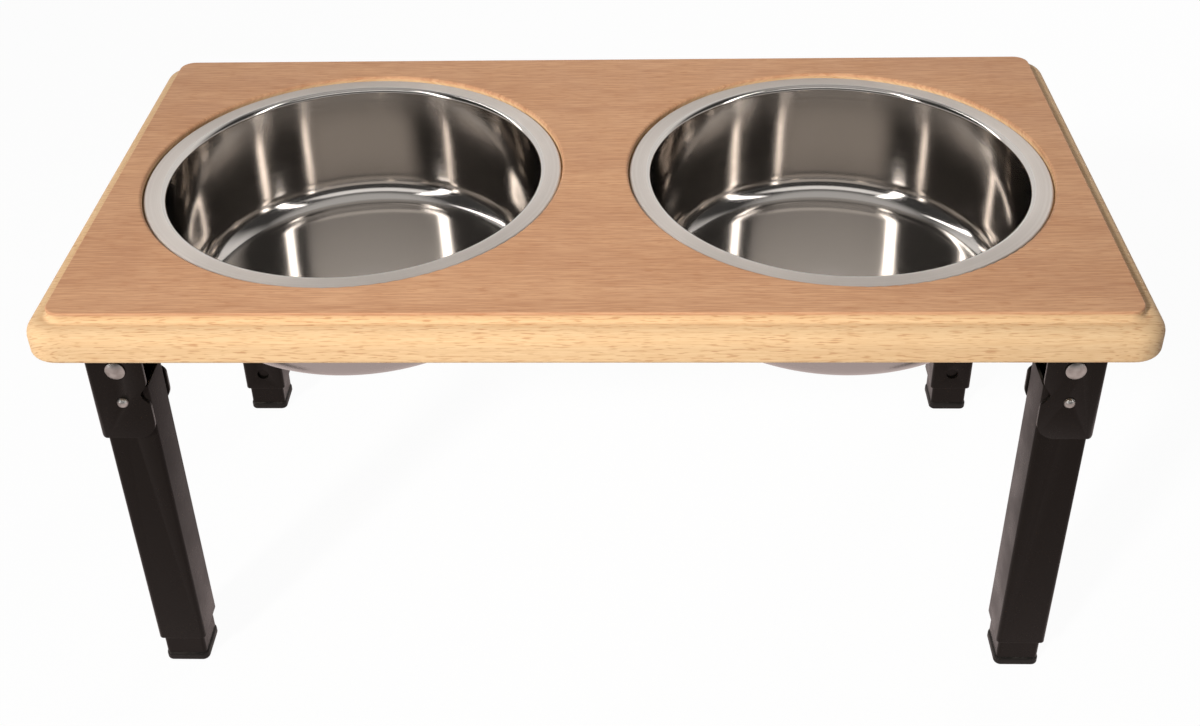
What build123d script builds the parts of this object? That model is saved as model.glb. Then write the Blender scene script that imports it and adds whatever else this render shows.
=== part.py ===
from build123d import *
import os

os.makedirs("parts", exist_ok=True)

# Raised pet feeder: a wooden board with two drop-in bowls, on four folding, telescoping legs.
# Millimetres. The origin is on the floor under the middle of the board, +X runs along the
# board, +Y to its rear edge and +Z up.

# ---------------------------------------------------------------- driving dimensions

# board
BOARD_LENGTH = 524.0
BOARD_DEPTH = 284.0
BOARD_THICKNESS = 22.0
BOARD_TOP = 241.0
BOARD_CORNER = 16.0
STEP_DEPTH = 5.0
STEP_WIDTH = 10.0
STEP_CORNER = 8.0
STEP_CROWN = 0.8
COVE = 2.2
ROUND_OVER = 7.4
UNDER_EDGE = 2.5

# bowls
BOWL_SPACING = 254.6
BOWL_RIM = 109.2
BOWL_WALL_TOP = 98.2
BOWL_WALL_FOOT = 94.6
BOWL_DEPTH = 69.5
BOWL_CORNER = 14.0
BOWL_SHEET = 0.8
RIM_HEIGHT = 2.2
RIM_TUCK = 1.4
RIM_BELOW_TOP = 1.8
RIM_SHOULDER = 2.6
RIM_SEAT_GAP = 0.3
RECESS_RADIUS = 110.1
RECESS_ROUND = 1.5
HOLE_RADIUS = 101.2

# legs
LEG_X = 226.6
LEG_Y = 110.5
OUTER_TUBE = 25.4
OUTER_WALL = 1.5
OUTER_TUBE_END = 18.2
INNER_TUBE = 21.8
INNER_WALL = 1.2
INNER_TUBE_LENGTH = 170.6
TUBE_CORNER = 2.4
INNER_TUBE_CORNER = 2.0
TUBE_LIP = 0.5

# folding joint, measured from the pivot
PIVOT_DROP = 16.1
TUBE_TOP_DROP = 11.7
TUBE_RIVET_DROP = 19.4
FLANGE_EDGE = 13.4
LOBE_TOP = 10.0
LOBE_FOOT = -8.8
NOTCH_FLOOR = (8.6, -15.8)
NOTCH_SHOULDER = -20.8
LOBE_TOP_ROUND = 8.0
LOBE_FOOT_ROUND = 6.0
NOTCH_ROUND = 3.0
SHOULDER_ROUND = 4.0
FLANGE_CORNER = 10.0
CHANNEL_SHEET = 1.8
CHANNEL_GAP = 0.1
CHANNEL_DROP = 41.5
CHANNEL_HEEL = 3.0
CHANNEL_BEND = 2.3
WEB_TOP = 14.3
WEB_TOP_RUN = 8.0
BRACKET_SHEET = 1.5
BRACKET_GAP = 0.5
BRACKET_BEND = 2.0
EAR_RADIUS = 9.0
EAR_FLARE_OUTER = 2.0
EAR_FLARE_INNER = 2.0
BRACKET_REACH = 34.0
BRACKET_CORNER = 1.5
SCREW_NEAR = 0.0
SCREW_FAR = 26.0
SCREW_SPREAD = 6.0

# rivets and screws
PIVOT_SHANK = 3.0
PIVOT_PLAY = 0.05
PIVOT_HEAD = 4.8
PIVOT_HEAD_HEIGHT = 1.9
PIVOT_HEAD_RIM = 0.5
HEAD_GAP = 0.1
TUBE_SHANK = 2.0
TUBE_HEAD = 2.9
TUBE_HEAD_HEIGHT = 2.2
SCREW_SHANK = 1.9
SCREW_LENGTH = 14.0
SCREW_HEAD = 3.7
SCREW_HEAD_HEIGHT = 1.5
SCREW_HEAD_ROUND = 1.0
SCREW_POINT = 1.1
SCREW_CROSS = 3.6
SCREW_CROSS_SLOT = 0.8
SCREW_CROSS_DEPTH = 0.9

# height setting
HOLE_PITCH = 20.0
HOLE_COUNT = 7
LOWEST_HOLE = 12.0
HOLE_SIZE = 3.75
BUTTON_RADIUS = 3.5
BUTTON_COLLAR = 5.0
BUTTON_COLLAR_SHEET = 1.0
BUTTON_PROUD = 1.5
BUTTON_DOME = 1.2
SPRING_SHEET = 0.5
SPRING_WIDTH = 6.0
SPRING_LENGTH = 34.0
SPRING_BEND = 1.5
SPRING_TOE = 4.0
SPRING_TOE_RISE = 3.0

# feet
FOOT_HEIGHT = 5.6
FOOT_WIDTH = 23.4
FOOT_CORNER = 3.6
FOOT_SOLE_ROUND = 1.4
FOOT_TOP_ROUND = 1.8
FOOT_PLUG = 18.0
FOOT_PLUG_CORNER = 0.8

# ---------------------------------------------------------------- worked-out levels

BOARD_UNDER = BOARD_TOP - BOARD_THICKNESS
PIVOT_Z = BOARD_UNDER - PIVOT_DROP
OUTER_TUBE_TOP = PIVOT_Z - TUBE_TOP_DROP
CHANNEL_INSIDE = OUTER_TUBE / 2 + CHANNEL_GAP
CHANNEL_OUTSIDE = CHANNEL_INSIDE + CHANNEL_SHEET
EAR_OUTSIDE = CHANNEL_INSIDE - BRACKET_GAP
PLATE_UNDER = PIVOT_DROP - BRACKET_SHEET
BUTTON_Z = OUTER_TUBE_END + LOWEST_HOLE + (HOLE_COUNT - 1) * HOLE_PITCH
INNER_BORE = INNER_TUBE / 2 - INNER_WALL

CORNERS = {
    "front_left": (-1, -1),
    "front_right": (1, -1),
    "rear_left": (-1, 1),
    "rear_right": (1, 1),
}


def side_plane(side, end, height=PIVOT_Z):
    """The upright plane through a leg's middle: its x runs to the table's middle and its y up."""
    return Plane(
        origin=(side * LEG_X, end * LEG_Y, height),
        x_dir=(-side, 0, 0),
        z_dir=(0, side, 0),
    )


def facing_plane(side, end, height):
    """An upright plane through a leg's middle whose normal points at the table's long middle line."""
    return Plane(
        origin=(side * LEG_X, end * LEG_Y, height),
        x_dir=(0, 0, 1),
        z_dir=(0, -end, 0),
    )


def level_plane(side, end, height):
    """A level plane on a leg's axis."""
    return Plane(origin=(side * LEG_X, end * LEG_Y, height), x_dir=(-side, 0, 0), z_dir=(0, 0, 1))


def finish(piece, name):
    """Names a piece and writes it."""
    piece.part.label = name
    export_step(piece.part, f"parts/{name}.step")


# ---------------------------------------------------------------- board


def make_board():
    """A slab with a rounded edge, a raised panel on it, and two counterbored bowl holes."""
    slab_height = BOARD_THICKNESS - STEP_DEPTH
    with BuildPart() as board:
        with BuildSketch(Plane.XY.offset(BOARD_UNDER)):
            RectangleRounded(BOARD_LENGTH, BOARD_DEPTH, BOARD_CORNER)
        extrude(amount=slab_height)
        fillet(board.faces().sort_by(Axis.Z)[-1].edges(), ROUND_OVER)
        fillet(board.faces().sort_by(Axis.Z)[0].edges(), UNDER_EDGE)
        with BuildSketch(Plane.XY.offset(BOARD_UNDER + slab_height)):
            RectangleRounded(
                BOARD_LENGTH - 2 * STEP_WIDTH, BOARD_DEPTH - 2 * STEP_WIDTH, STEP_CORNER
            )
        extrude(amount=STEP_DEPTH)
        fillet(board.faces().sort_by(Axis.Z)[-1].edges(), STEP_CROWN)
        shelf = board.faces().filter_by(GeomType.PLANE).filter_by(Axis.Z).sort_by(Axis.Z)[-2]
        fillet(shelf.inner_wires()[0].edges(), COVE)
        with Locations(
            (-BOWL_SPACING / 2, 0, BOARD_TOP),
            (BOWL_SPACING / 2, 0, BOARD_TOP),
        ):
            CounterBoreHole(
                radius=HOLE_RADIUS,
                counter_bore_radius=RECESS_RADIUS,
                counter_bore_depth=RIM_BELOW_TOP + RIM_HEIGHT + RIM_SEAT_GAP,
            )
        recess_mouths = board.edges().group_by(Axis.Z)[-1].filter_by(GeomType.CIRCLE)
        fillet(recess_mouths.filter_by(lambda edge: edge.radius > HOLE_RADIUS), RECESS_ROUND)
        # screw holes from below, one set at each corner
        for side, end in CORNERS.values():
            with BuildSketch(level_plane(side, end, BOARD_UNDER)):
                with Locations(*screw_places()):
                    Circle(SCREW_SHANK)
            extrude(amount=SCREW_LENGTH, mode=Mode.SUBTRACT)
    finish(board, "board")


# ---------------------------------------------------------------- bowls


def make_bowl(name, side):
    """A spun bowl: a bent sheet profile turned about its axis, with a rolled edge on the rim."""
    centre = (side * BOWL_SPACING / 2, 0, BOARD_TOP - RIM_BELOW_TOP)
    half = BOWL_SHEET / 2
    curl = RIM_HEIGHT / 2 - half
    rim_level = -half
    wall_top = rim_level - RIM_SHOULDER
    wall_foot = -BOWL_DEPTH + half + BOWL_CORNER
    with BuildPart() as bowl:
        with BuildSketch(Plane(origin=centre, x_dir=(1, 0, 0), z_dir=(0, -1, 0))):
            with BuildLine():
                tuck = Line(
                    (BOWL_RIM - half - curl - RIM_TUCK, rim_level - 2 * curl),
                    (BOWL_RIM - half - curl, rim_level - 2 * curl),
                )
                roll = ThreePointArc(
                    tuck @ 1,
                    (BOWL_RIM - half, rim_level - curl),
                    (BOWL_RIM - half - curl, rim_level),
                )
                land = Line(roll @ 1, (BOWL_WALL_TOP + RIM_SHOULDER, rim_level))
                shoulder = RadiusArc(land @ 1, (BOWL_WALL_TOP, wall_top), -RIM_SHOULDER)
                wall = Line(shoulder @ 1, (BOWL_WALL_FOOT, wall_foot))
                turn = RadiusArc(
                    wall @ 1, (BOWL_WALL_FOOT - BOWL_CORNER, wall_foot - BOWL_CORNER), BOWL_CORNER
                )
                Line(turn @ 1, (0, wall_foot - BOWL_CORNER))
            trace(line_width=BOWL_SHEET)
        revolve(axis=Axis(centre, (0, 0, 1)))
    finish(bowl, name)


# ---------------------------------------------------------------- folding joint


def make_base_bracket(name, side, end):
    """A U bent from sheet under the board: a screwed plate with two rounded ears for the pivot."""
    inside = EAR_OUTSIDE - BRACKET_SHEET
    with BuildPart() as bracket:
        with BuildSketch(side_plane(side, end)):
            with BuildLine():
                ear = ThreePointArc((-EAR_RADIUS, 0), (0, -EAR_RADIUS), (EAR_RADIUS, 0))
                Polyline(
                    ear @ 1,
                    (EAR_RADIUS + EAR_FLARE_INNER, PLATE_UNDER),
                    (BRACKET_REACH, PLATE_UNDER),
                    (BRACKET_REACH, PIVOT_DROP),
                    (-CHANNEL_OUTSIDE, PIVOT_DROP),
                    (-CHANNEL_OUTSIDE, PLATE_UNDER),
                    (-EAR_RADIUS - EAR_FLARE_OUTER, PLATE_UNDER),
                    ear @ 0,
                )
            make_face()
        extrude(amount=EAR_OUTSIDE, both=True)
        # the bent section that the outline is cut from
        with BuildSketch(section_plane(side, end)):
            with Locations((0, -PIVOT_DROP)):
                RectangleRounded(2 * EAR_OUTSIDE, 2 * PIVOT_DROP, BRACKET_BEND)
            with Locations((0, -PIVOT_DROP - BRACKET_SHEET)):
                RectangleRounded(
                    2 * inside, 2 * PIVOT_DROP, BRACKET_BEND - BRACKET_SHEET, mode=Mode.SUBTRACT
                )
        extrude(amount=2 * BRACKET_REACH, both=True, mode=Mode.INTERSECT)
        # rounded ends of the plate
        with BuildSketch(level_plane(side, end, BOARD_UNDER)):
            with Locations(((BRACKET_REACH - CHANNEL_OUTSIDE) / 2, 0)):
                RectangleRounded(
                    BRACKET_REACH + CHANNEL_OUTSIDE, 2 * EAR_OUTSIDE, BRACKET_CORNER
                )
        extrude(amount=-2 * PIVOT_DROP, mode=Mode.INTERSECT)
        with Locations(side_plane(side, end)):
            Hole(PIVOT_SHANK)
        with Locations(level_plane(side, end, BOARD_UNDER)):
            with Locations(*screw_places()):
                Hole(SCREW_SHANK)
    finish(bracket, name)


def section_plane(side, end):
    """The upright plane across a leg at the board's underside: its x runs to the rear and its y up."""
    return Plane(
        origin=(side * LEG_X, end * LEG_Y, BOARD_UNDER), x_dir=(0, 1, 0), z_dir=(1, 0, 0)
    )


def screw_places():
    """Where a bracket's three screws stand, from the leg's axis: one over the pivot, two inboard."""
    return [(SCREW_NEAR, 0), (SCREW_FAR, -SCREW_SPREAD), (SCREW_FAR, SCREW_SPREAD)]


def make_bracket_screws(name, side, end):
    """Three pan-head wood screws, driven up into the board."""
    head_face = BOARD_UNDER - BRACKET_SHEET
    with BuildPart() as screws:
        with BuildSketch(level_plane(side, end, head_face)):
            with Locations(*screw_places()):
                Circle(SCREW_HEAD)
        extrude(amount=-SCREW_HEAD_HEIGHT)
        fillet(screws.faces().sort_by(Axis.Z)[:3].edges(), SCREW_HEAD_ROUND)
        with BuildSketch(level_plane(side, end, head_face)):
            with Locations(*screw_places()):
                Circle(SCREW_SHANK)
        extrude(amount=SCREW_LENGTH)
        chamfer(screws.faces().sort_by(Axis.Z)[-3:].edges(), SCREW_POINT)
        # cross recess
        with BuildSketch(level_plane(side, end, head_face - SCREW_HEAD_HEIGHT)):
            with Locations(*screw_places()):
                Rectangle(SCREW_CROSS, SCREW_CROSS_SLOT)
                Rectangle(SCREW_CROSS_SLOT, SCREW_CROSS)
        extrude(amount=SCREW_CROSS_DEPTH, mode=Mode.SUBTRACT)
    finish(screws, name)


def make_leg_channel(name, side, end):
    """The pressed channel that turns on the bracket: a web outside, a lobed and notched flange each side."""
    width = CHANNEL_OUTSIDE + FLANGE_EDGE + CHANNEL_BEND
    corners = {
        (FLANGE_EDGE, LOBE_TOP): LOBE_TOP_ROUND,
        (FLANGE_EDGE, LOBE_FOOT): LOBE_FOOT_ROUND,
        NOTCH_FLOOR: NOTCH_ROUND,
        (FLANGE_EDGE, NOTCH_SHOULDER): SHOULDER_ROUND,
        (FLANGE_EDGE, -CHANNEL_DROP): FLANGE_CORNER,
        (-CHANNEL_OUTSIDE, -CHANNEL_DROP): CHANNEL_HEEL,
    }
    with BuildPart() as channel:
        with BuildSketch(side_plane(side, end)) as outline:
            with BuildLine():
                Polyline(
                    (-CHANNEL_OUTSIDE, WEB_TOP),
                    (-CHANNEL_OUTSIDE + WEB_TOP_RUN, WEB_TOP),
                    *corners,
                    close=True,
                )
            make_face()
            for place, radius in corners.items():
                fillet(outline.vertices().sort_by_distance((*place, 0))[0], radius)
        extrude(amount=CHANNEL_OUTSIDE, both=True)
        # the bent section that the outline is cut from
        with BuildSketch(level_plane(side, end, PIVOT_Z - CHANNEL_DROP)):
            with Locations((width - CHANNEL_OUTSIDE, 0)):
                RectangleRounded(2 * width, 2 * CHANNEL_OUTSIDE, CHANNEL_BEND)
            with Locations((width - CHANNEL_INSIDE, 0)):
                RectangleRounded(
                    2 * width, 2 * CHANNEL_INSIDE, CHANNEL_BEND - CHANNEL_SHEET, mode=Mode.SUBTRACT
                )
        extrude(amount=CHANNEL_DROP + WEB_TOP, mode=Mode.INTERSECT)
        with Locations(side_plane(side, end)):
            Hole(PIVOT_SHANK + PIVOT_PLAY)
            with Locations((0, -TUBE_RIVET_DROP)):
                Hole(TUBE_SHANK)
    finish(channel, name)


def make_pivot_rivet(name, side, end):
    """The large rivet: a shank through the ears and flanges with a low domed head at each end."""
    grip = CHANNEL_OUTSIDE + HEAD_GAP
    tip = grip + PIVOT_HEAD_HEIGHT
    with BuildPart() as rivet:
        with BuildSketch(rivet_plane(side, end, PIVOT_Z)):
            with BuildLine():
                front = Polyline((0, 0), (PIVOT_SHANK, 0), (PIVOT_SHANK, grip), (PIVOT_HEAD, grip))
                rim = Line(front @ 1, (PIVOT_HEAD, grip + PIVOT_HEAD_RIM))
                TangentArc((0, tip), rim @ 1, tangent=(1, 0))
                Line((0, tip), front @ 0)
            make_face()
        revolve(axis=Axis((side * LEG_X, end * LEG_Y, PIVOT_Z), (0, 1, 0)))
        mirror(about=Plane(origin=(0, end * LEG_Y, 0), x_dir=(1, 0, 0), z_dir=(0, 1, 0)))
    finish(rivet, name)


def rivet_plane(side, end, height):
    """A plane that holds a rivet's axis as its y, with x across the rivet."""
    return Plane(origin=(side * LEG_X, end * LEG_Y, height), x_dir=(1, 0, 0), z_dir=(0, 0, 1))


def make_tube_rivet(name, side, end):
    """The small rivet through channel and tube, with a full domed head at each end."""
    height = PIVOT_Z - TUBE_RIVET_DROP
    tip = CHANNEL_OUTSIDE + TUBE_HEAD_HEIGHT
    with BuildPart() as rivet:
        with BuildSketch(rivet_plane(side, end, height)):
            with BuildLine():
                stem = Polyline(
                    (0, 0), (TUBE_SHANK, 0), (TUBE_SHANK, CHANNEL_OUTSIDE), (TUBE_HEAD, CHANNEL_OUTSIDE)
                )
                TangentArc((0, tip), stem @ 1, tangent=(1, 0))
                Line((0, tip), stem @ 0)
            make_face()
        revolve(axis=Axis((side * LEG_X, end * LEG_Y, height), (0, 1, 0)))
        mirror(about=Plane(origin=(0, end * LEG_Y, 0), x_dir=(1, 0, 0), z_dir=(0, 1, 0)))
    finish(rivet, name)


# ---------------------------------------------------------------- telescoping leg


def make_outer_tube(name, side, end):
    """The square tube riveted in the channel, with the height holes up its inner side."""
    inside = OUTER_TUBE - 2 * OUTER_WALL
    with BuildPart() as tube:
        with BuildSketch(level_plane(side, end, OUTER_TUBE_END)):
            RectangleRounded(OUTER_TUBE, OUTER_TUBE, TUBE_CORNER)
            RectangleRounded(inside, inside, TUBE_CORNER - OUTER_WALL, mode=Mode.SUBTRACT)
        extrude(amount=OUTER_TUBE_TOP - OUTER_TUBE_END)
        fillet(tube.faces().sort_by(Axis.Z)[0].outer_wire().edges(), TUBE_LIP)
        with BuildSketch(facing_plane(side, end, BUTTON_Z - (HOLE_COUNT - 1) * HOLE_PITCH)):
            with Locations(*[(step * HOLE_PITCH, 0) for step in range(HOLE_COUNT)]):
                Circle(HOLE_SIZE)
        extrude(amount=OUTER_TUBE, mode=Mode.SUBTRACT)
        with Locations(side_plane(side, end, PIVOT_Z - TUBE_RIVET_DROP)):
            Hole(TUBE_SHANK)
    finish(tube, name)


def make_inner_tube(name, side, end):
    """The sliding tube, with one hole for the button."""
    inside = 2 * INNER_BORE
    with BuildPart() as tube:
        with BuildSketch(level_plane(side, end, FOOT_HEIGHT)):
            RectangleRounded(INNER_TUBE, INNER_TUBE, INNER_TUBE_CORNER)
            RectangleRounded(inside, inside, INNER_TUBE_CORNER - INNER_WALL, mode=Mode.SUBTRACT)
        extrude(amount=INNER_TUBE_LENGTH)
        with BuildSketch(facing_plane(side, end, BUTTON_Z)):
            Circle(HOLE_SIZE)
        extrude(amount=INNER_TUBE, mode=Mode.SUBTRACT)
    finish(tube, name)


def make_snap_button(name, side, end):
    """The locking pin: a domed stud with a collar that stops it inside the inner tube."""
    plane = facing_plane(side, end, BUTTON_Z)
    tip = OUTER_TUBE / 2 + BUTTON_PROUD
    with BuildPart() as button:
        with BuildSketch(plane.offset(INNER_BORE - BUTTON_COLLAR_SHEET)):
            Circle(BUTTON_COLLAR)
        extrude(amount=BUTTON_COLLAR_SHEET)
        with BuildSketch(plane.offset(INNER_BORE)):
            Circle(BUTTON_RADIUS)
        extrude(amount=tip - INNER_BORE)
        outer_end = button.faces().sort_by(Axis.Y)[0 if end > 0 else -1]
        fillet(outer_end.edges(), BUTTON_DOME)
    finish(button, name)


def make_button_spring(name, side, end):
    """A leaf spring bent double: one leaf behind the button, the other along the far wall."""
    near = INNER_BORE - BUTTON_COLLAR_SHEET - SPRING_SHEET / 2
    far = -INNER_BORE + SPRING_SHEET / 2
    with BuildPart() as spring:
        with BuildSketch(spring_plane(side, end)):
            with BuildLine():
                FilletPolyline(
                    (near, BUTTON_COLLAR),
                    (near, -BUTTON_COLLAR),
                    (far + SPRING_TOE, -SPRING_LENGTH),
                    (far, -SPRING_LENGTH + SPRING_TOE_RISE),
                    (far, BUTTON_COLLAR),
                    radius=SPRING_BEND,
                )
            trace(line_width=SPRING_SHEET)
        extrude(amount=SPRING_WIDTH / 2, both=True)
    finish(spring, name)


def spring_plane(side, end):
    """An upright plane across the leg: x runs to the table's long middle line, y up."""
    return Plane(
        origin=(side * LEG_X, end * LEG_Y, BUTTON_Z), x_dir=(0, -end, 0), z_dir=(-end, 0, 0)
    )


def make_foot(name, side, end):
    """A plastic cap: a cushioned head that stands on the floor and a plug up the inner tube."""
    with BuildPart() as foot:
        with BuildSketch(level_plane(side, end, 0)):
            RectangleRounded(FOOT_WIDTH, FOOT_WIDTH, FOOT_CORNER)
        extrude(amount=FOOT_HEIGHT)
        fillet(foot.faces().sort_by(Axis.Z)[0].edges(), FOOT_SOLE_ROUND)
        fillet(foot.faces().sort_by(Axis.Z)[-1].edges(), FOOT_TOP_ROUND)
        with BuildSketch(level_plane(side, end, FOOT_HEIGHT)):
            RectangleRounded(2 * INNER_BORE, 2 * INNER_BORE, FOOT_PLUG_CORNER)
        extrude(amount=FOOT_PLUG)
    finish(foot, name)


# ---------------------------------------------------------------- the whole feeder

make_board()
make_bowl("bowl_left", -1)
make_bowl("bowl_right", 1)

LEG_PIECES = {
    "base_bracket": make_base_bracket,
    "bracket_screws": make_bracket_screws,
    "leg_channel": make_leg_channel,
    "pivot_rivet": make_pivot_rivet,
    "tube_rivet": make_tube_rivet,
    "outer_tube": make_outer_tube,
    "inner_tube": make_inner_tube,
    "snap_button": make_snap_button,
    "button_spring": make_button_spring,
    "foot": make_foot,
}
for corner, (side, end) in CORNERS.items():
    for piece, make in LEG_PIECES.items():
        make(f"{piece}_{corner}", side, end)
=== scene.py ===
# %% [markdown]
# # A raised pet feeder in Blender
# The feeder is a beech-coloured board with two round steel bowls dropped into it. It stands on four
# square legs that telescope and fold up under the board. The imported model already holds every piece
# in its true place, in metres, with the floor at zero. So the first step loads it.

# %% Load the frame
import math

import bmesh
import bpy
import numpy as np
from mathutils import Matrix, Vector


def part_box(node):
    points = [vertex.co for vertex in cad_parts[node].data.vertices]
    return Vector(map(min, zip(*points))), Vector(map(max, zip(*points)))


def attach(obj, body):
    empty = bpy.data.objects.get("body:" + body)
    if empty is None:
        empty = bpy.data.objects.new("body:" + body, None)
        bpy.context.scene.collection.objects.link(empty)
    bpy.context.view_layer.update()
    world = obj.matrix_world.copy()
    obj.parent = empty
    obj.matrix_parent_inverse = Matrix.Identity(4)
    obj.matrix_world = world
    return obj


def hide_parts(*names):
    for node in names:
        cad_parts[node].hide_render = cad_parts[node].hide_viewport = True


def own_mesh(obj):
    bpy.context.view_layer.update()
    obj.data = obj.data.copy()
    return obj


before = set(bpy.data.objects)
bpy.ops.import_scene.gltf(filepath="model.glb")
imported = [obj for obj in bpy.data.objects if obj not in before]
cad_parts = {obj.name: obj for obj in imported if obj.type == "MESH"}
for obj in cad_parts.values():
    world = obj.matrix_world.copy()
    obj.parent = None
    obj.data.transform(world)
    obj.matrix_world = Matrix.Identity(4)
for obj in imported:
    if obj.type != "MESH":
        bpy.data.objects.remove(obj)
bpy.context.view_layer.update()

# %% [markdown]
# The feeder has four corners, and each corner has the same ten pieces. A list of corner names lets
# one loop dress all four legs. The number beside each name is -1 for a front corner and 1 for a rear
# one. Sizes that other steps need are read from the pieces themselves, so that nothing is measured
# twice.

# %% Corners and sizes
CORNERS = {"front_left": -1, "front_right": -1, "rear_left": 1, "rear_right": 1}
MM = 0.001


def middle_of(node):
    """The middle of a node's box: the mean of its lowest and highest corners."""
    low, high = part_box(node)
    return (low + high) / 2


board_low, board_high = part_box("board")
print("board", [round(size / MM, 1) for size in board_high - board_low], "mm")

# %% [markdown]
# The camera is set first, because every judgement of colour and shape is made through it. It is
# described as a surveyor would do it: where it stands, how far it looks down, how far it is turned
# and tilted, and its focal length in pixels of a picture 1200 pixels wide. The optical axis doesn't
# pass through the middle of the picture, so a small lens shift makes up the difference.

# %% Camera
PICTURE_WIDTH, PICTURE_HEIGHT = 1200, 726
SENSOR_WIDTH = 36.0
CAMERA_PLACE = Vector((0.0246, -0.6927, 0.6349))
LOOK_DOWN = math.radians(33.861)
TURN = math.radians(-2.374)
TILT = math.radians(-1.460)
FOCAL_PIXELS = 1511.6
AXIS_PIXEL = (590.2, 281.1)


def camera_turn(down, turn, tilt):
    """The camera's rotation: its axes are the right hand, the up and the backward direction."""
    forward = Vector(
        (math.sin(turn) * math.cos(down), math.cos(turn) * math.cos(down), -math.sin(down))
    )
    level = Vector((math.cos(turn), -math.sin(turn), 0.0))
    upright = level.cross(forward)
    right = level * math.cos(tilt) + upright * math.sin(tilt)
    up = upright * math.cos(tilt) - level * math.sin(tilt)
    return Matrix((right, up, -forward)).transposed()


camera = bpy.data.objects.new("camera", bpy.data.cameras.new("camera"))
bpy.context.scene.collection.objects.link(camera)
camera.matrix_world = Matrix.Translation(CAMERA_PLACE) @ camera_turn(LOOK_DOWN, TURN, TILT).to_4x4()
camera.data.sensor_width = SENSOR_WIDTH
camera.data.lens = FOCAL_PIXELS / PICTURE_WIDTH * SENSOR_WIDTH
camera.data.shift_x = (PICTURE_WIDTH / 2 - AXIS_PIXEL[0]) / PICTURE_WIDTH
camera.data.shift_y = (AXIS_PIXEL[1] - PICTURE_HEIGHT / 2) / PICTURE_WIDTH
bpy.context.scene.camera = camera
bpy.context.scene.view_settings.view_transform = "Standard"
print("camera with a", round(camera.data.lens, 1), "mm lens")

# %% [markdown]
# Every finish below is a small network of shader nodes. Written out in full, each one would need a
# page of node, socket and link calls. A few helpers keep them short: one fills sockets, with either
# a plain value or another node's output, and the others add a node, do a sum, carry a value from one
# range to another, mix two colours, and make or place a node group.

# %% Helpers for shader nodes


def fill(tree, node, sockets):
    """Fills a node's sockets, each with a plain value or with a wire from another node's output."""
    for name, value in sockets.items():
        if isinstance(value, bpy.types.NodeSocket):
            tree.links.new(value, node.inputs[name])
        else:
            node.inputs[name].default_value = value


def add(tree, kind, sockets=None, **settings):
    """Adds a shader node, sets its options, then fills its sockets."""
    made = tree.nodes.new("ShaderNode" + kind)
    for name, value in settings.items():
        setattr(made, name, value)
    fill(tree, made, sockets or {})
    return made


def sum_of(tree, operation, *values):
    """One Math node: the operation on one to three values or wires."""
    return add(tree, "Math", dict(enumerate(values)), operation=operation).outputs[0]


def product(tree, first, second):
    """The first value times the second."""
    return sum_of(tree, "MULTIPLY", first, second)


def largest(tree, first, *others):
    """The largest of several values."""
    for other in others:
        first = sum_of(tree, "MAXIMUM", first, other)
    return first


def ramp(tree, value, low, high, to_low=0.0, to_high=1.0, smooth=True):
    """Carries a value from one range to another and stops it at both ends."""
    made = add(
        tree,
        "MapRange",
        {"Value": value, "From Min": low, "From Max": high, "To Min": to_low, "To Max": to_high},
        interpolation_type="SMOOTHSTEP" if smooth else "LINEAR",
    )
    return made.outputs["Result"]


def blend_colours(tree, amount, first, second):
    """Mixes two colours by an amount between 0 and 1. The sockets for colours are 6, 7 and output 2."""
    return add(tree, "Mix", {0: amount, 6: first, 7: second}, data_type="RGBA").outputs[2]


def colour(red, green, blue):
    """A colour written as 0 to 255 on the screen, turned into the linear values that shaders use."""
    screen = np.array([red, green, blue]) / 255
    linear = np.where(screen > 0.04045, ((screen + 0.055) / 1.055) ** 2.4, screen / 12.92)
    return (*linear.tolist(), 1.0)


def new_group(name, inputs, outputs):
    """An empty node group with named sockets: returns its tree, its inputs and its output node."""
    tree = bpy.data.node_groups.new(name, "ShaderNodeTree")
    for label, (kind, value) in inputs.items():
        socket = tree.interface.new_socket(label, in_out="INPUT", socket_type="NodeSocket" + kind)
        if value is not None:
            socket.default_value = value
    for label, kind in outputs.items():
        tree.interface.new_socket(label, in_out="OUTPUT", socket_type="NodeSocket" + kind)
    given = tree.nodes.new("NodeGroupInput").outputs
    result = tree.nodes.new("NodeGroupOutput")
    return tree, given, result


def use_group(tree, group, sockets):
    """Places a node group in a material and fills its sockets."""
    return add(tree, "Group", sockets, node_tree=group).outputs


def new_finish(name):
    """A material with one Principled shader: returns the material, its tree and the shader."""
    material = bpy.data.materials.new(name)
    material.use_nodes = True
    shader = material.node_tree.nodes["Principled BSDF"]
    return material, material.node_tree, shader


print("helpers ready")

# %% [markdown]
# The light is a plain studio. A small lamp in front and to the left has a narrow beam, so the middle
# of the board is a little brighter than its ends. A broad lamp behind and to the right lights the
# rear sides. A pale world fills the rest. It is white to the camera, and lights the object more
# weakly than it looks, so that colours come out as written.
#
# Metal needs something to mirror: in an evenly white room it looks like grey paper. So reflections
# see a studio that is painted into the world by direction. It has white paper behind the object, a
# wall that is bright low down, a pale ceiling, a card in front and three upright strips of light, and
# is dark elsewhere. Neither lamp shows in reflections, because its glare would whiten the satin board
# when it is seen from behind.

# %% World and lamps
WORLD_LIGHT = 0.17
DARK_STUDIO, WALL_GLOW, CEILING_GLOW, CARD_GLOW = 0.06, 0.8, 0.6, 1.2
# bearing from straight ahead in degrees: (half width in degrees, strength)
STRIP_LIGHTS = {-50.0: (5.0, 8.0), 66.0: (4.0, 7.0), -112.0: (4.0, 7.0)}


def seen_directly(tree):
    """1 for camera, glossy and see-through rays and 0 for the rays that only carry light."""
    path = add(tree, "LightPath").outputs
    return largest(tree, *(path[f"Is {kind} Ray"] for kind in ("Camera", "Glossy", "Transmission")))


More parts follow.
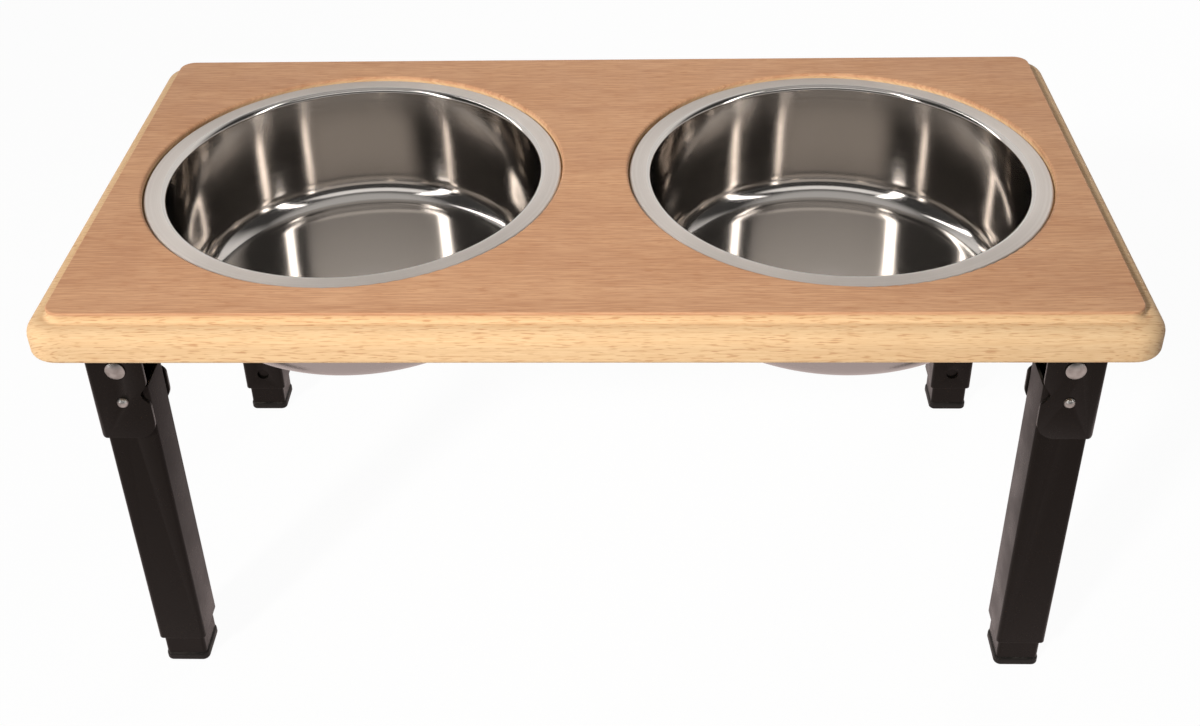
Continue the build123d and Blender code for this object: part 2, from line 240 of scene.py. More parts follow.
def band(tree, value, rise, fall):
    """1 between two edges and 0 outside them. Each edge is a pair of values that it runs between."""
    return product(tree, ramp(tree, value, *rise), ramp(tree, value, *fall, 1.0, 0.0))


world = bpy.data.worlds.new("studio")
bpy.context.scene.world = world
world.use_nodes = True
world_tree = world.node_tree
world_look = add(world_tree, "TexCoord").outputs["Generated"]
sideways, backward, skyward = add(world_tree, "SeparateXYZ", {"Vector": world_look}).outputs


def paper_sweep(tree):
    """White paper behind the object: full up to its top edge, where it fades into the dark."""
    behind = ramp(tree, backward, 0.1, 0.6)
    below_edge = ramp(tree, skyward, 0.74, 0.96, 1.0, 0.0)
    return product(tree, behind, below_edge)


def wall_and_ceiling(tree):
    """A wall all round that is brightest near the floor, and a pale patch straight overhead."""
    wall = ramp(tree, skyward, 0.05, 0.3, WALL_GLOW, DARK_STUDIO)
    return largest(tree, wall, ramp(tree, skyward, 0.82, 0.97, 0.0, CEILING_GLOW))


def front_card(tree):
    """A pale card high up on the camera's side."""
    ahead = ramp(tree, backward, -0.5, -0.4, CARD_GLOW, 0.0)
    return product(tree, ahead, band(tree, skyward, (0.6, 0.66), (0.8, 0.85)))


def strip_lights(tree, seen):
    """Adds upright strips of light to what is seen, each at its own bearing from straight ahead."""
    bearing = sum_of(tree, "ARCTAN2", sideways, product(tree, backward, -1.0))
    tall = band(tree, skyward, (0.1, 0.2), (0.8, 0.9))
    for degrees, (half_width, strength) in STRIP_LIGHTS.items():
        off = sum_of(tree, "ABSOLUTE", sum_of(tree, "SUBTRACT", bearing, math.radians(degrees)))
        edge = math.radians(half_width)
        strip = ramp(tree, off, 0.5 * edge, edge, strength, 0.0)
        seen = largest(tree, seen, product(tree, strip, tall))
    return seen


mirrored = add(world_tree, "LightPath").outputs["Is Glossy Ray"]
studio = largest(world_tree, paper_sweep(world_tree), wall_and_ceiling(world_tree), front_card(world_tree))
shown = ramp(world_tree, mirrored, 0.0, 1.0, 1.0, strip_lights(world_tree, studio), smooth=False)
world_light = ramp(world_tree, seen_directly(world_tree), 0.0, 1.0, WORLD_LIGHT, shown, smooth=False)
world_tree.nodes["Background"].inputs["Color"].default_value = (1.0, 1.0, 1.0, 1.0)
world_tree.links.new(world_light, world_tree.nodes["Background"].inputs["Strength"])


LAMPS = {
    "back_fill": {
        "place": (1.6, 2.6, 0.7),
        "target": (0.0, 0.0, 0.15),
        "size": 1.0,
        "watts": 42.0,
        "tint": (1.0, 0.98, 0.96),
        "spread": 180.0,
    },
    "key_lamp": {
        "place": (-1.5, -2.3, 1.95),
        "target": (0.04, 0.0, 0.2),
        "size": 0.3,
        "watts": 4.5,
        "tint": (1.0, 0.985, 0.95),
        "spread": 33.0,
    },
}


def soft_lamp(name, place, target, size, watts, tint, spread):
    """A square lamp that shines towards its target, and fades to nothing at the sides of its spread."""
    lamp = bpy.data.objects.new(name, bpy.data.lights.new(name, "AREA"))
    bpy.context.scene.collection.objects.link(lamp)
    aim = (Vector(target) - Vector(place)).to_track_quat("-Z", "Y").to_matrix().to_4x4()
    lamp.matrix_world = Matrix.Translation(Vector(place)) @ aim
    lamp.data.size = size
    lamp.data.energy = watts
    lamp.data.color = tint
    lamp.data.spread = math.radians(spread)
    lamp.visible_glossy = False
    print(name, "at", place, "with", watts, "W")


for name, settings in LAMPS.items():
    soft_lamp(name, **settings)

# %% [markdown]
# The floor is a large plain sheet. A material of its own keeps it white for the camera while still
# letting the object's shadow show on it. In reflections it is a little warmer and dimmer.

# %% Floor
FLOOR_HALF = 12.0
FLOOR_GLOW = 0.96
FLOOR_MIRRORED = 0.8
FLOOR_WHITE = (1.0, 1.0, 1.0, 1.0)
FLOOR_WARM = (1.0, 0.82, 0.79, 1.0)
FLOOR_PAPER = (0.9, 0.9, 0.9, 1.0)
FLOOR_ROUGHNESS = 0.9


def make_floor():
    """One flat square at height zero, far wider than the view."""
    mesh = bpy.data.meshes.new("floor")
    corners = [(-FLOOR_HALF, -FLOOR_HALF, 0.0), (FLOOR_HALF, -FLOOR_HALF, 0.0)]
    corners += [(FLOOR_HALF, FLOOR_HALF, 0.0), (-FLOOR_HALF, FLOOR_HALF, 0.0)]
    mesh.from_pydata(corners, [], [(0, 1, 2, 3)])
    floor = bpy.data.objects.new("floor", mesh)
    bpy.context.scene.collection.objects.link(floor)
    return floor


def make_floor_finish():
    """White paper that partly glows for direct rays, so that only the shadow darkens it."""
    material, tree, shader = new_finish("floor_paper")
    shader.inputs["Base Color"].default_value = FLOOR_PAPER
    shader.inputs["Roughness"].default_value = FLOOR_ROUGHNESS
    mirrored = add(tree, "LightPath").outputs["Is Glossy Ray"]
    tint = blend_colours(tree, mirrored, FLOOR_WHITE, FLOOR_WARM)
    glow = add(tree, "Emission", {"Color": tint, "Strength": 1.0})
    share = ramp(tree, mirrored, 0.0, 1.0, FLOOR_GLOW, FLOOR_MIRRORED, smooth=False)
    amount = product(tree, seen_directly(tree), share)
    mixed = add(tree, "MixShader", {0: amount, 1: shader.outputs[0], 2: glow.outputs[0]})
    tree.links.new(mixed.outputs[0], tree.nodes["Material Output"].inputs["Surface"])
    return material


floor = make_floor()
floor.data.materials.append(make_floor_finish())
print("floor", 2 * FLOOR_HALF, "m square")

# %% [markdown]
# Several finishes share the same small effects: a slow unevenness that varies their gloss, the
# orange-peel skin of a sprayed or moulded surface, and a trace of dust where a surface faces up.
# Each effect is a node group with named inputs, made once here and placed with its own values in
# every material that needs it.

# %% Shared effects
PEEL_DEPTH = 0.2 * MM


def make_mottle():
    """Slow unevenness: noise at two sizes, carried to the range between Low and High."""
    tree, given, result = new_group(
        "mottle",
        {
            "Place": ("Vector", None),
            "Scale": ("Float", 40.0),
            "Low": ("Float", 0.0),
            "High": ("Float", 1.0),
        },
        {"Value": "Float"},
    )
    noise = add(tree, "TexNoise", {"Vector": given["Place"], "Scale": given["Scale"], "Detail": 4.0})
    spread = ramp(tree, noise.outputs["Fac"], 0.3, 0.7, given["Low"], given["High"])
    tree.links.new(spread, result.inputs["Value"])
    return tree


def make_orange_peel():
    """The fine dimpled skin of powder coat: noise as a height, turned into a bent normal."""
    tree, given, result = new_group(
        "orange_peel",
        {"Place": ("Vector", None), "Scale": ("Float", 900.0), "Depth": ("Float", 0.2)},
        {"Normal": "Vector"},
    )
    noise = add(tree, "TexNoise", {"Vector": given["Place"], "Scale": given["Scale"], "Detail": 2.0})
    height = noise.outputs["Fac"]
    bump = add(tree, "Bump", {"Height": height, "Strength": given["Depth"], "Distance": PEEL_DEPTH})
    tree.links.new(bump.outputs["Normal"], result.inputs["Normal"])
    return tree


def make_dust():
    """A mask for dust: patchy noise, and only where the surface faces up."""
    tree, given, result = new_group(
        "dust",
        {"Place": ("Vector", None), "Facing": ("Vector", None), "Amount": ("Float", 0.2)},
        {"Mask": "Float"},
    )
    up = add(tree, "SeparateXYZ", {"Vector": given["Facing"]}).outputs["Z"]
    patch = add(tree, "TexNoise", {"Vector": given["Place"], "Scale": 120.0, "Detail": 6.0}).outputs["Fac"]
    lying = ramp(tree, up, 0.2, 0.9)
    spots = ramp(tree, patch, 0.42, 0.72)
    tree.links.new(product(tree, product(tree, lying, spots), given["Amount"]), result.inputs["Mask"])
    return tree


MOTTLE, ORANGE_PEEL, DUST = make_mottle(), make_orange_peel(), make_dust()
print("shared effects:", MOTTLE.name, ORANGE_PEEL.name, DUST.name)

# %% [markdown]
# The board is fibreboard wrapped in a satin beech foil. Beech is a quiet wood: long, faint bands run
# the length of the board, and it is strewn with small dark flecks like pencil dashes. The foil is
# pressed down over the routed edge without a seam, so the pattern has to run on over the edge. That
# is done by unrolling the edge: how far a point lies below the top is added to its distance from
# the middle of the board, and the pattern is drawn on this flat map.

# %% Beech finish
BEECH_LIGHT = colour(214, 166, 128)
BEECH_DARK = colour(185, 135, 101)
BEECH_FLECK = colour(168, 106, 64)
# Painted light: the edge colours are a lighter, yellower copy of the wood, as if a lamp fell on every edge.
PAINTED_LIT_EDGE_PALE = colour(225, 192, 150)
PAINTED_LIT_EDGE_DEEP = colour(213, 175, 132)
END_BEGINS, END_FULL = 30 * MM, 8 * MM
EDGE_BEGINS, EDGE_FULL = 0.8 * MM, 2.2 * MM
SWAY_SCALE, SWAY = 9.0, 6 * MM
BAND_SHARE, FINE_SHARE = 0.35, 0.65
# each pattern's scale along and across the grain, its detail, and how far it is moved
GRAIN = {
    "bands": (2.2, 30.0, 3.0, 0.0),
    "fine": (46.0, 900.0, 2.0, 3.0),
    "dashes": (130.0, 1150.0, 1.0, 7.0),
    "crowd": (14.0, 70.0, 2.0, 11.0),
}


def below_top(tree):
    """How far a point lies below the board's flat top, and the point's x and y."""
    place = add(tree, "TexCoord").outputs["Object"]
    x, y, z = add(tree, "SeparateXYZ", {"Vector": place}).outputs
    return sum_of(tree, "SUBTRACT", float(board_high.z), z), x, y


def unrolled(tree):
    """The board's place as a flat map: depth below the top carries on past the edge it has crossed."""
    drop, x, y = below_top(tree)
    from_middle = sum_of(tree, "ABSOLUTE", x)
    near_end = ramp(tree, from_middle, board_high.x - END_BEGINS, board_high.x - END_FULL)
    over_end = product(tree, product(tree, drop, near_end), sum_of(tree, "SIGN", x))
    over_side = product(tree, drop, sum_of(tree, "SIGN", y))
    along = sum_of(tree, "ADD", x, over_end)
    line = add(tree, "CombineXYZ", {"X": along}).outputs["Vector"]
    sway = add(tree, "TexNoise", {"Vector": line, "Scale": SWAY_SCALE}).outputs["Fac"]
    across = sum_of(tree, "ADD", sum_of(tree, "ADD", y, over_side), product(tree, sway, SWAY))
    return add(tree, "CombineXYZ", {"X": along, "Y": across, "Z": 0.0}).outputs["Vector"]


def streaks(tree, flat, along, across, detail, offset):
    """Noise stretched along the grain: `along` and `across` are its scales in each direction."""
    stretch = add(
        tree, "Mapping", {"Vector": flat, "Location": (offset, offset, 0.0), "Scale": (along, across, 1.0)}
    )
    noise = add(tree, "TexNoise", {"Vector": stretch.outputs["Vector"], "Scale": 1.0, "Detail": detail})
    return noise.outputs["Fac"]


def make_beech():
    """Satin beech foil: broad bands, fine streaks and flecks, a faint bump that follows them, and painted
    light on the edge.
    """
    material, tree, shader = new_finish("beech_foil")
    flat = unrolled(tree)
    edge = ramp(tree, below_top(tree)[0], EDGE_BEGINS, EDGE_FULL)
    bands = ramp(tree, streaks(tree, flat, *GRAIN["bands"]), 0.35, 0.65)
    fine = ramp(tree, streaks(tree, flat, *GRAIN["fine"]), 0.3, 0.7)
    tone = sum_of(tree, "ADD", product(tree, bands, BAND_SHARE), product(tree, fine, FINE_SHARE))
    face_wood = blend_colours(tree, tone, BEECH_DARK, BEECH_LIGHT)
    # Painted light: below the flat top the wood turns into its lighter, lit copy.
    painted_lit_edge_wood = blend_colours(tree, tone, PAINTED_LIT_EDGE_DEEP, PAINTED_LIT_EDGE_PALE)
    wood = blend_colours(tree, edge, face_wood, painted_lit_edge_wood)
    dashes = ramp(tree, streaks(tree, flat, *GRAIN["dashes"]), 0.54, 0.68)
    crowd = ramp(tree, streaks(tree, flat, *GRAIN["crowd"]), 0.3, 0.6, 0.35, 0.6)
    strength = product(tree, crowd, ramp(tree, edge, 0.0, 1.0, 0.55, 0.85, smooth=False))
    wood = blend_colours(tree, product(tree, dashes, strength), wood, BEECH_FLECK)
    tree.links.new(wood, shader.inputs["Base Color"])
    gloss = use_group(tree, MOTTLE, {"Place": flat, "Scale": 30.0, "Low": 0.46, "High": 0.56})["Value"]
    tree.links.new(sum_of(tree, "ADD", gloss, product(tree, edge, 0.06)), shader.inputs["Roughness"])
    height = sum_of(tree, "SUBTRACT", fine, product(tree, dashes, 0.8))
    bump = add(tree, "Bump", {"Height": height, "Strength": 0.1, "Distance": 0.0001})
    tree.links.new(bump.outputs["Normal"], shader.inputs["Normal"])
    shader.inputs["Specular IOR Level"].default_value = 0.18
    return material


beech = make_beech()
print("made", beech.name)

# %% [markdown]
# The legs' sheet metal and tubes are powder coated in satin black. Powder coat isn't quite smooth:
# it has a fine orange-peel skin, its gloss wanders a little, and pale dust settles on faces that look
# up. A weak, warm sheen keeps the sides that are seen at a slant from going dead black.

# %% Black powder coat
COAT_BLACK = colour(14, 12, 10)
COAT_SHINE = (1.0, 0.86, 0.82, 1.0)
COAT_SHEEN = (1.0, 0.35, 0.28, 1.0)
DUST_GREY = colour(120, 112, 104)


def make_powder_coat():
    """Satin black with orange peel, uneven gloss and a little dust."""
    material, tree, shader = new_finish("black_powder_coat")
    coordinates = add(tree, "TexCoord").outputs
    place = coordinates["Object"]
    dust = use_group(tree, DUST, {"Place": place, "Facing": coordinates["Normal"], "Amount": 0.12})["Mask"]
    tree.links.new(blend_colours(tree, dust, COAT_BLACK, DUST_GREY), shader.inputs["Base Color"])
    gloss = use_group(tree, MOTTLE, {"Place": place, "Scale": 55.0, "Low": 0.24, "High": 0.36})["Value"]
    tree.links.new(sum_of(tree, "ADD", gloss, dust), shader.inputs["Roughness"])
    skin = use_group(tree, ORANGE_PEEL, {"Place": place, "Scale": 900.0, "Depth": 0.25})
    tree.links.new(skin["Normal"], shader.inputs["Normal"])
    shader.inputs["Specular IOR Level"].default_value = 0.15
    shader.inputs["Specular Tint"].default_value = COAT_SHINE
    shader.inputs["Sheen Weight"].default_value = 0.12
    shader.inputs["Sheen Roughness"].default_value = 0.15
    shader.inputs["Sheen Tint"].default_value = COAT_SHEEN
    return material


powder_coat = make_powder_coat()
print("made", powder_coat.name)

# %% [markdown]
# Small metal parts differ only in colour and gloss. The rivets are zinc plated and a little mottled
# from being hammered over, the screws are brighter, the springs are blued, and the pins are dark.
# One function makes all four finishes from a few values.

# %% Small metal parts


def make_plated(name, light, dark, low, high, scale=420.0, dents=0.25):
    """Plated steel: its colour and its gloss both follow one mottled pattern."""
    material, tree, shader = new_finish(name)
    place = add(tree, "TexCoord").outputs["Object"]
    cloud = use_group(tree, MOTTLE, {"Place": place, "Scale": scale, "Low": 0.0, "High": 1.0})["Value"]
    tree.links.new(blend_colours(tree, cloud, dark, light), shader.inputs["Base Color"])
    gloss = use_group(tree, MOTTLE, {"Place": place, "Scale": 2 * scale, "Low": low, "High": high})["Value"]
    tree.links.new(gloss, shader.inputs["Roughness"])
    skin = use_group(tree, ORANGE_PEEL, {"Place": place, "Scale": scale, "Depth": dents})
    tree.links.new(skin["Normal"], shader.inputs["Normal"])
    shader.inputs["Metallic"].default_value = 1.0
    return material


rivet_zinc = make_plated("rivet_zinc", colour(182, 180, 176), colour(150, 146, 142), 0.3, 0.42, 260.0, 0.06)
screw_zinc = make_plated("screw_zinc", colour(220, 218, 214), colour(184, 180, 174), 0.2, 0.34)
spring_blue = make_plated("blued_steel", colour(118, 122, 134), colour(84, 84, 92), 0.22, 0.36)
pin_dark = make_plated("pin_steel", colour(120, 116, 112), colour(86, 82, 78), 0.28, 0.42)
print("made", rivet_zinc.name, screw_zinc.name, spring_blue.name, pin_dark.name)

# %% [markdown]
# The feet are moulded in black polyethylene, which is duller and greyer than the powder coat and
# has a slightly coarser skin.

# %% Foot plastic
FOOT_BLACK = colour(22, 20, 18)


def make_foot_plastic():
    """Dull black plastic with a grained skin and dust on its shoulders."""
    material, tree, shader = new_finish("moulded_plastic")
    coordinates = add(tree, "TexCoord").outputs
    place = coordinates["Object"]
    dust = use_group(tree, DUST, {"Place": place, "Facing": coordinates["Normal"], "Amount": 0.14})["Mask"]
    tree.links.new(blend_colours(tree, dust, FOOT_BLACK, DUST_GREY), shader.inputs["Base Color"])
    gloss = use_group(tree, MOTTLE, {"Place": place, "Scale": 160.0, "Low": 0.44, "High": 0.58})["Value"]
    tree.links.new(gloss, shader.inputs["Roughness"])
    skin = use_group(tree, ORANGE_PEEL, {"Place": place, "Scale": 1500.0, "Depth": 0.4})
    tree.links.new(skin["Normal"], shader.inputs["Normal"])
    shader.inputs["Specular IOR Level"].default_value = 0.2
    return material


foot_plastic = make_foot_plastic()
print("made", foot_plastic.name)

# %% [markdown]
# A steel bowl is spun or deep drawn, so every section through its axis is the same: a flat floor, a
# rounded corner, a wall that leans out a little, a tight shoulder, a flat rim and a rolled edge.
# Such a form is one curve carried round an axis. The curve here is the middle of the sheet, sampled
# as arrays. Half the sheet's thickness to either side of it gives the inner and the outer skin.

# %% The bowl's section
BOWL_CENTRE = abs(middle_of("bowl_left").x) / MM
RIM_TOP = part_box("bowl_left")[1].z / MM
BOWL_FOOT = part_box("bowl_left")[0].z / MM
RIM_EDGE = (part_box("bowl_left")[1].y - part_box("bowl_left")[0].y) / 2 / MM
SHEET = 0.8
FLAT_FLOOR, CORNER_ROUND = 80.6, 14.0
WALL_TOP, SHOULDER_ROUND = 98.2, 2.6
ROLL_ROUND, ROLL_TUCK = 0.7, 1.4


def straight(start, end, count):
    """Points spread evenly on the line between two points, without the last one."""
    step = np.linspace(0.0, 1.0, count, endpoint=False)[:, None]
    return np.array(start) * (1 - step) + np.array(end) * step


def arc(centre, radius, start, end, count):
    """Points on a circle about centre, from one angle to another in degrees, without the last."""
    angle = np.radians(np.linspace(start, end, count, endpoint=False))[:, None]
    return np.array(centre) + radius * np.hstack([np.cos(angle), np.sin(angle)])


def bowl_section():
    """The middle of the sheet from the axis outwards, as (radius, height) in millimetres."""
    floor_level = BOWL_FOOT + SHEET / 2
    rim_level = RIM_TOP - SHEET / 2
    wall_foot = (FLAT_FLOOR + CORNER_ROUND, floor_level + CORNER_ROUND)
    wall_head = (WALL_TOP, rim_level - SHOULDER_ROUND)
    roll_centre = (RIM_EDGE - SHEET / 2 - ROLL_ROUND, rim_level - ROLL_ROUND)
    tuck_level = rim_level - 2 * ROLL_ROUND
    return np.vstack(
        [
            straight((0.0, floor_level), (FLAT_FLOOR, floor_level), 26),
            arc((FLAT_FLOOR, wall_foot[1]), CORNER_ROUND, -90, 0, 22),
            straight(wall_foot, wall_head, 26),
            arc((WALL_TOP + SHOULDER_ROUND, wall_head[1]), SHOULDER_ROUND, 180, 90, 14),
            straight((WALL_TOP + SHOULDER_ROUND, rim_level), (roll_centre[0], rim_level), 10),
            arc(roll_centre, ROLL_ROUND, 90, -90, 14),
            straight((roll_centre[0], tuck_level), (roll_centre[0] - ROLL_TUCK, tuck_level), 3),
            [(roll_centre[0] - ROLL_TUCK, tuck_level)],
        ]
    )


section = bowl_section()
print("bowl section of", len(section), "points, depth", round(float(np.ptp(section[:, 1])), 1), "mm")

# %% [markdown]
# Many pieces here are grids of points: rows along the piece and columns round it. One helper makes
# the mesh from such a grid. The columns meet again after one turn, and a row whose points all fall
# together, at the middle of a floor, is merged into a single pole. The helper also lays a map on the
# surface, once round and once along, which the brushed steel uses to know which way it was turned.

# %% Grids into meshes
SAME_PLACE = 1e-6


def grid_piece(name, grid):
    """A closed piece from a grid of points (rows, columns, 3) in metres, with a map of (round, along)."""
    rows, columns = grid.shape[:2]
    index = np.arange(rows * columns).reshape(rows, columns)
    beside = np.roll(index, -1, axis=1)
    faces = np.stack([index[:-1], beside[:-1], beside[1:], index[1:]], axis=-1).reshape(-1, 4)
    mesh = bpy.data.meshes.new(name)
    mesh.from_pydata(grid.reshape(-1, 3).tolist(), [], faces.tolist())
    column, row = np.meshgrid(np.arange(columns), np.arange(rows - 1))
    round_it = np.stack([column, column + 1, column + 1, column], axis=-1) / columns
    along_it = np.stack([row, row, row + 1, row + 1], axis=-1) / (rows - 1)
    layer = mesh.uv_layers.new(name="turning")
    layer.data.foreach_set("uv", np.stack([round_it, along_it], axis=-1).ravel())
    mend(mesh)
    piece = bpy.data.objects.new(name, mesh)
    bpy.context.scene.collection.objects.link(piece)
    return piece


def mend(mesh):
    """Merges points that fall together and turns every face outwards."""
    work = bmesh.new()
    work.from_mesh(mesh)
    bmesh.ops.remove_doubles(work, verts=work.verts, dist=SAME_PLACE)
    bmesh.ops.recalc_face_normals(work, faces=work.faces)
    work.to_mesh(mesh)
    work.free()
    mesh.shade_smooth()


def thickened(section, sheet):
    """Both skins of a bent sheet: the section moved half a sheet each way along its normal."""
    run = np.gradient(section, axis=0)
    run /= np.linalg.norm(run, axis=1, keepdims=True)
    normal = np.stack([-run[:, 1], run[:, 0]], axis=1) * sheet / 2
    return np.vstack([section + normal, (section - normal)[::-1]])


def turned(name, outline, centre, columns):
    """A turned form: each (radius, height) of the outline is carried round an upright axis."""
    angle = np.linspace(0.0, 2 * math.pi, columns, endpoint=False)
    radius, height = np.maximum(outline[:, :1], 0.0) * MM, outline[:, 1:] * MM
    grid = np.stack(
        [
            centre[0] + radius * np.cos(angle),
            centre[1] + radius * np.sin(angle),
            height + 0 * angle,
        ],
        axis=-1,
    )
    return grid_piece(name, grid)


print("grid helpers ready")

# %% [markdown]
# Polished stainless steel is mostly a mirror, so its look comes from how its gloss changes. Turning
# leaves very fine rings, which smear a highlight sideways into a band. The flat rim was ground to a
# satin and looks pale, and the underside was left duller. Coordinates measured from each bowl's own
# axis, as radius and height, draw rings that follow the metal everywhere. The map tells the outer
# skin from the inner one, because it runs out along the inner skin and back along the outer.

# %% Bowl steel
STEEL = colour(198, 192, 186)
STEEL_SATIN = colour(214, 205, 197)
STEEL_OUTSIDE = colour(166, 163, 161)
POLISHED_GLOSS, SATIN_GLOSS = (0.08, 0.14), (0.34, 0.46)
CLOUD_SHARE, OUTSIDE_SHARE = 0.02, 0.12
SATIN_BEGINS, SATIN_FULL = (WALL_TOP + 1.6) * MM, (WALL_TOP + 2.6) * MM
OUTSIDE_BEGINS, OUTSIDE_FULL = 0.51, 0.53


def make_spun_lines():
    """Rings from turning: noise that only depends on the distance from the axis and on the height."""
    tree, given, result = new_group(
        "spun_lines",
        {"Radius": ("Float", 0.0), "Height": ("Float", 0.0), "Scale": ("Float", 900.0)},
        {"Line": "Float"},
    )
    flat = add(tree, "CombineXYZ", {"X": given["Radius"], "Y": given["Height"], "Z": 0.0}).outputs[0]
    noise = add(tree, "TexNoise", {"Vector": flat, "Scale": given["Scale"], "Detail": 4.0})
    tree.links.new(noise.outputs["Fac"], result.inputs["Line"])
    return tree


SPUN_LINES = make_spun_lines()


def make_bowl_steel():
    """Mirror steel with turning rings inside, satin on the flat rim and duller underneath."""
    material, tree, shader = new_finish("spun_steel")
    coordinates = add(tree, "TexCoord").outputs
    x, y, z = add(tree, "SeparateXYZ", {"Vector": coordinates["Object"]}).outputs
    from_axis = sum_of(tree, "SUBTRACT", sum_of(tree, "ABSOLUTE", x), BOWL_CENTRE * MM)
    squares = sum_of(tree, "ADD", product(tree, from_axis, from_axis), product(tree, y, y))
    radius = sum_of(tree, "SQRT", squares)
    on_rim = ramp(tree, radius, SATIN_BEGINS, SATIN_FULL)
    lines = use_group(tree, SPUN_LINES, {"Radius": radius, "Height": z, "Scale": 2200.0})["Line"]
    own = add(tree, "CombineXYZ", {"X": from_axis, "Y": y, "Z": z}).outputs[0]
    cloud = use_group(tree, MOTTLE, {"Place": own, "Scale": 26.0, "Low": 0.0, "High": 1.0})["Value"]
    polished = ramp(tree, lines, 0.3, 0.7, *POLISHED_GLOSS)
    satin = ramp(tree, lines, 0.3, 0.7, *SATIN_GLOSS)
    along = add(tree, "SeparateXYZ", {"Vector": coordinates["UV"]}).outputs["Y"]
    outside = ramp(tree, along, OUTSIDE_BEGINS, OUTSIDE_FULL)
    gloss = sum_of(tree, "ADD", polished, product(tree, cloud, CLOUD_SHARE))
    gloss = sum_of(tree, "ADD", gloss, product(tree, on_rim, satin))
    gloss = sum_of(tree, "ADD", gloss, product(tree, outside, OUTSIDE_SHARE))
    tree.links.new(gloss, shader.inputs["Roughness"])
    metal = blend_colours(tree, on_rim, STEEL, STEEL_SATIN)
    tree.links.new(blend_colours(tree, outside, metal, STEEL_OUTSIDE), shader.inputs["Base Color"])
    bump = add(tree, "Bump", {"Height": lines, "Strength": 0.05, "Distance": 0.00005})
    tree.links.new(bump.outputs["Normal"], shader.inputs["Normal"])
    tangent = add(tree, "Tangent", direction_type="UV_MAP", uv_map="turning")
    tree.links.new(tangent.outputs["Tangent"], shader.inputs["Tangent"])
    shader.inputs["Metallic"].default_value = 1.0
    shader.inputs["Anisotropic"].default_value = 0.75
    shader.inputs["Anisotropic Rotation"].default_value = 0.25
    return material


bowl_steel = make_bowl_steel()
print("made", bowl_steel.name)

# %% [markdown]
# Both bowls are the same section turned about two axes. Each new bowl stands for the plain one in
# the frame, so it rides on the same body and lifts out with it.

# %% Two bowls
BOWL_COLUMNS = 224


def make_bowls():
    """The two turned bowls, each riding on its own body."""
    outline = thickened(section, SHEET)
    for side, sign in (("left", -1), ("right", 1)):
        bowl = turned(f"bowl_shell_{side}", outline, (sign * BOWL_CENTRE * MM, 0.0), BOWL_COLUMNS)
        bowl.data.materials.append(bowl_steel)
        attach(bowl, f"bowl_{side}")
        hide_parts(f"bowl_{side}")
        print(bowl.name, len(bowl.data.polygons), "faces")


make_bowls()

# %% [markdown]
# The foot caps are small mouldings: a rounded square head that stands on the floor, soft at its top
# and bottom edges, with a plug that goes up into the tube. A stack of rounded squares gives that
# form. Each row has its own half width, corner and height.

# %% Foot caps
FOOT_HALF = 11.7
FOOT_HEAD = 5.6
PLUG_HALF = 9.7
PLUG_TOP = 23.6
SOLE_ROUND, CROWN_ROUND = 1.4, 1.8
FOOT_CORNER, PLUG_CORNER = 3.6, 0.8
CORNER_POINTS = 9


def rounded_squares(half, corner, level):
    """Rows of rounded squares: in each row four quarter circles sit at the corners of a square."""
    quarter = np.radians(np.linspace(0, 90, CORNER_POINTS))
    turn = quarter[None, :] + np.radians([0, 90, 180, 270])[:, None]
    signs = np.array([(1, 1), (-1, 1), (-1, -1), (1, -1)])[:, None, :]
    circle = np.stack([np.cos(turn), np.sin(turn)], axis=-1)
    half, corner = half[:, None, None, None], corner[:, None, None, None]
    plan = signs * (half - corner) + corner * circle
    plan = plan.reshape(len(half), -1, 2)
    return np.dstack([plan, np.broadcast_to(level[:, None], plan.shape[:2])])


def foot_outline():
    """Half width, corner and height of each row of a foot cap, in millimetres, from the sole up."""
    low, high = FOOT_HALF - SOLE_ROUND, FOOT_HALF - CROWN_ROUND
    head = np.vstack(
        [
            straight((0.0, 0.0), (low, 0.0), 4),
            arc((low, SOLE_ROUND), SOLE_ROUND, -90, 0, 8),
            straight((FOOT_HALF, SOLE_ROUND), (FOOT_HALF, FOOT_HEAD - CROWN_ROUND), 3),
            arc((high, FOOT_HEAD - CROWN_ROUND), CROWN_ROUND, 0, 90, 9),
            [(high, FOOT_HEAD)],
        ]
    )
    plug = np.array([(PLUG_HALF, FOOT_HEAD), (PLUG_HALF, PLUG_TOP), (0.0, PLUG_TOP)])
    half, level = np.vstack([head, plug]).T
    corner = np.minimum(np.maximum(FOOT_CORNER - (FOOT_HALF - half), PLUG_CORNER), half)
    return half, corner, level


def make_feet():
    """One moulded cap under each leg, in place of the plain one."""
    half, corner, level = foot_outline()
    for name in CORNERS:
        middle = middle_of(f"foot_{name}")
        grid = rounded_squares(half, corner, level) * MM + np.array([middle.x, middle.y, 0.0])
        cap = grid_piece(f"foot_cap_{name}", grid)
        cap.data.materials.append(foot_plastic)
        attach(cap, f"inner_leg_{name}")
        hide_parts(f"foot_{name}")
    print("four foot caps of", len(cap.data.polygons), "faces")


make_feet()

# %% [markdown]
# Sheet metal never has a knife edge: the press rounds it, and the powder coat rounds it more. Those
# tiny rounds catch the light. Each pressed or tubular piece is copied from the frame, its loose
# triangles are merged and its flat faces joined up, and a narrow bevel is put on the sharp edges.

# %% Rounded edges for pressed steel
EDGE_ROUND = 0.35 * MM
EDGE_STEPS = 2
SHARP_ANGLE, FLAT_ANGLE = math.radians(40), math.radians(0.5)


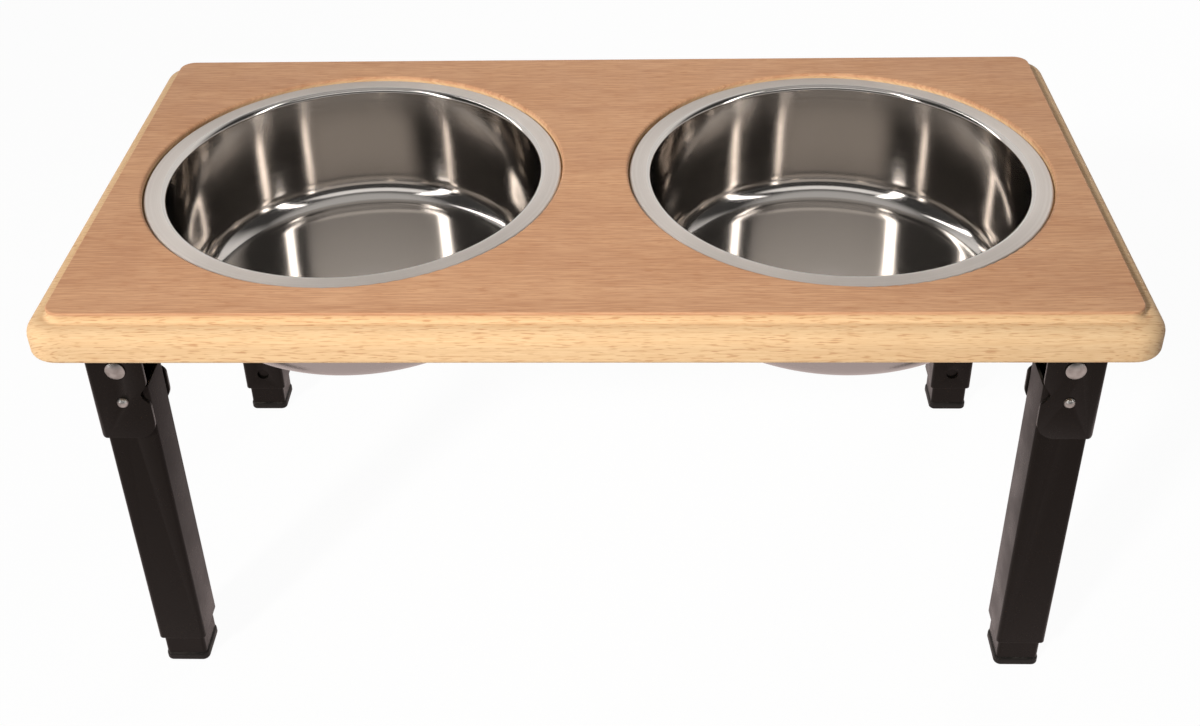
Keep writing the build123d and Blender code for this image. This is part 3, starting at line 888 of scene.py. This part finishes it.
def with_rounded_edges(node, name):
    """A copy of a frame piece, merged into one skin, with a narrow bevel on its sharp edges."""
    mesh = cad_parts[node].data.copy()
    work = bmesh.new()
    work.from_mesh(mesh)
    bmesh.ops.remove_doubles(work, verts=work.verts, dist=SAME_PLACE)
    bmesh.ops.dissolve_limit(
        work,
        angle_limit=FLAT_ANGLE,
        verts=work.verts,
        edges=work.edges,
        use_dissolve_boundaries=False,
    )
    work.to_mesh(mesh)
    work.free()
    mesh.shade_smooth()
    piece = bpy.data.objects.new(name, mesh)
    bpy.context.scene.collection.objects.link(piece)
    bevel = piece.modifiers.new("rounded_edges", "BEVEL")
    bevel.limit_method = "ANGLE"
    bevel.angle_limit = SHARP_ANGLE
    bevel.width = EDGE_ROUND
    bevel.segments = EDGE_STEPS
    bevel.harden_normals = True
    return piece


def dress_steel():
    """Copies the pressed and tubular pieces of every leg, with rounded edges and black coat."""
    for corner in CORNERS:
        for node, name, body in (
            ("leg_channel", "pressed_channel", f"leg_{corner}"),
            ("outer_tube", "square_tube", f"leg_{corner}"),
            ("base_bracket", "bent_bracket", "table"),
        ):
            piece = with_rounded_edges(f"{node}_{corner}", f"{name}_{corner}")
            piece.data.materials.clear()
            piece.data.materials.append(powder_coat)
            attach(piece, body)
            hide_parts(f"{node}_{corner}")
    print("pressed steel with", EDGE_ROUND / MM, "mm rounds")


dress_steel()

# %% [markdown]
# Inside each leg a leaf spring, bent double, holds the locking pin out. Pressing the pin closes the
# spring: the leaf behind the pin goes in with it, and the leaf along the far wall stays. Here each
# spring is a plain copy from the frame with its own finish, carried by its inner leg.


def make_flexing_springs():
    """One copied leaf spring in each leg; the real one closes towards the wall away from the table's
    middle.
    """
    for corner, end in CORNERS.items():
        node = f"button_spring_{corner}"
        spring = bpy.data.objects.new(f"leaf_spring_{corner}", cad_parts[node].data.copy())
        bpy.context.scene.collection.objects.link(spring)
        spring.data.materials.clear()
        spring.data.materials.append(spring_blue)
        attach(spring, f"inner_leg_{corner}")
        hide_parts(node)
        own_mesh(spring)


make_flexing_springs()

# %% [markdown]
# The pieces whose form is already right stay as they are in the frame and only get their finish.

# %% Finishes for the frame's own pieces
FINISHES = {
    "board": beech,
    "inner_tube": powder_coat,
    "pivot_rivet": rivet_zinc,
    "tube_rivet": rivet_zinc,
    "bracket_screws": screw_zinc,
    "snap_button": pin_dark,
}


def dress_frame():
    """Gives each frame piece the finish that its name begins with."""
    dressed = 0
    for node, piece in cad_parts.items():
        for start, finish in FINISHES.items():
            if node.startswith(start):
                piece.data.materials.clear()
                piece.data.materials.append(finish)
                dressed += 1
    print(dressed, "frame pieces dressed")


dress_frame()
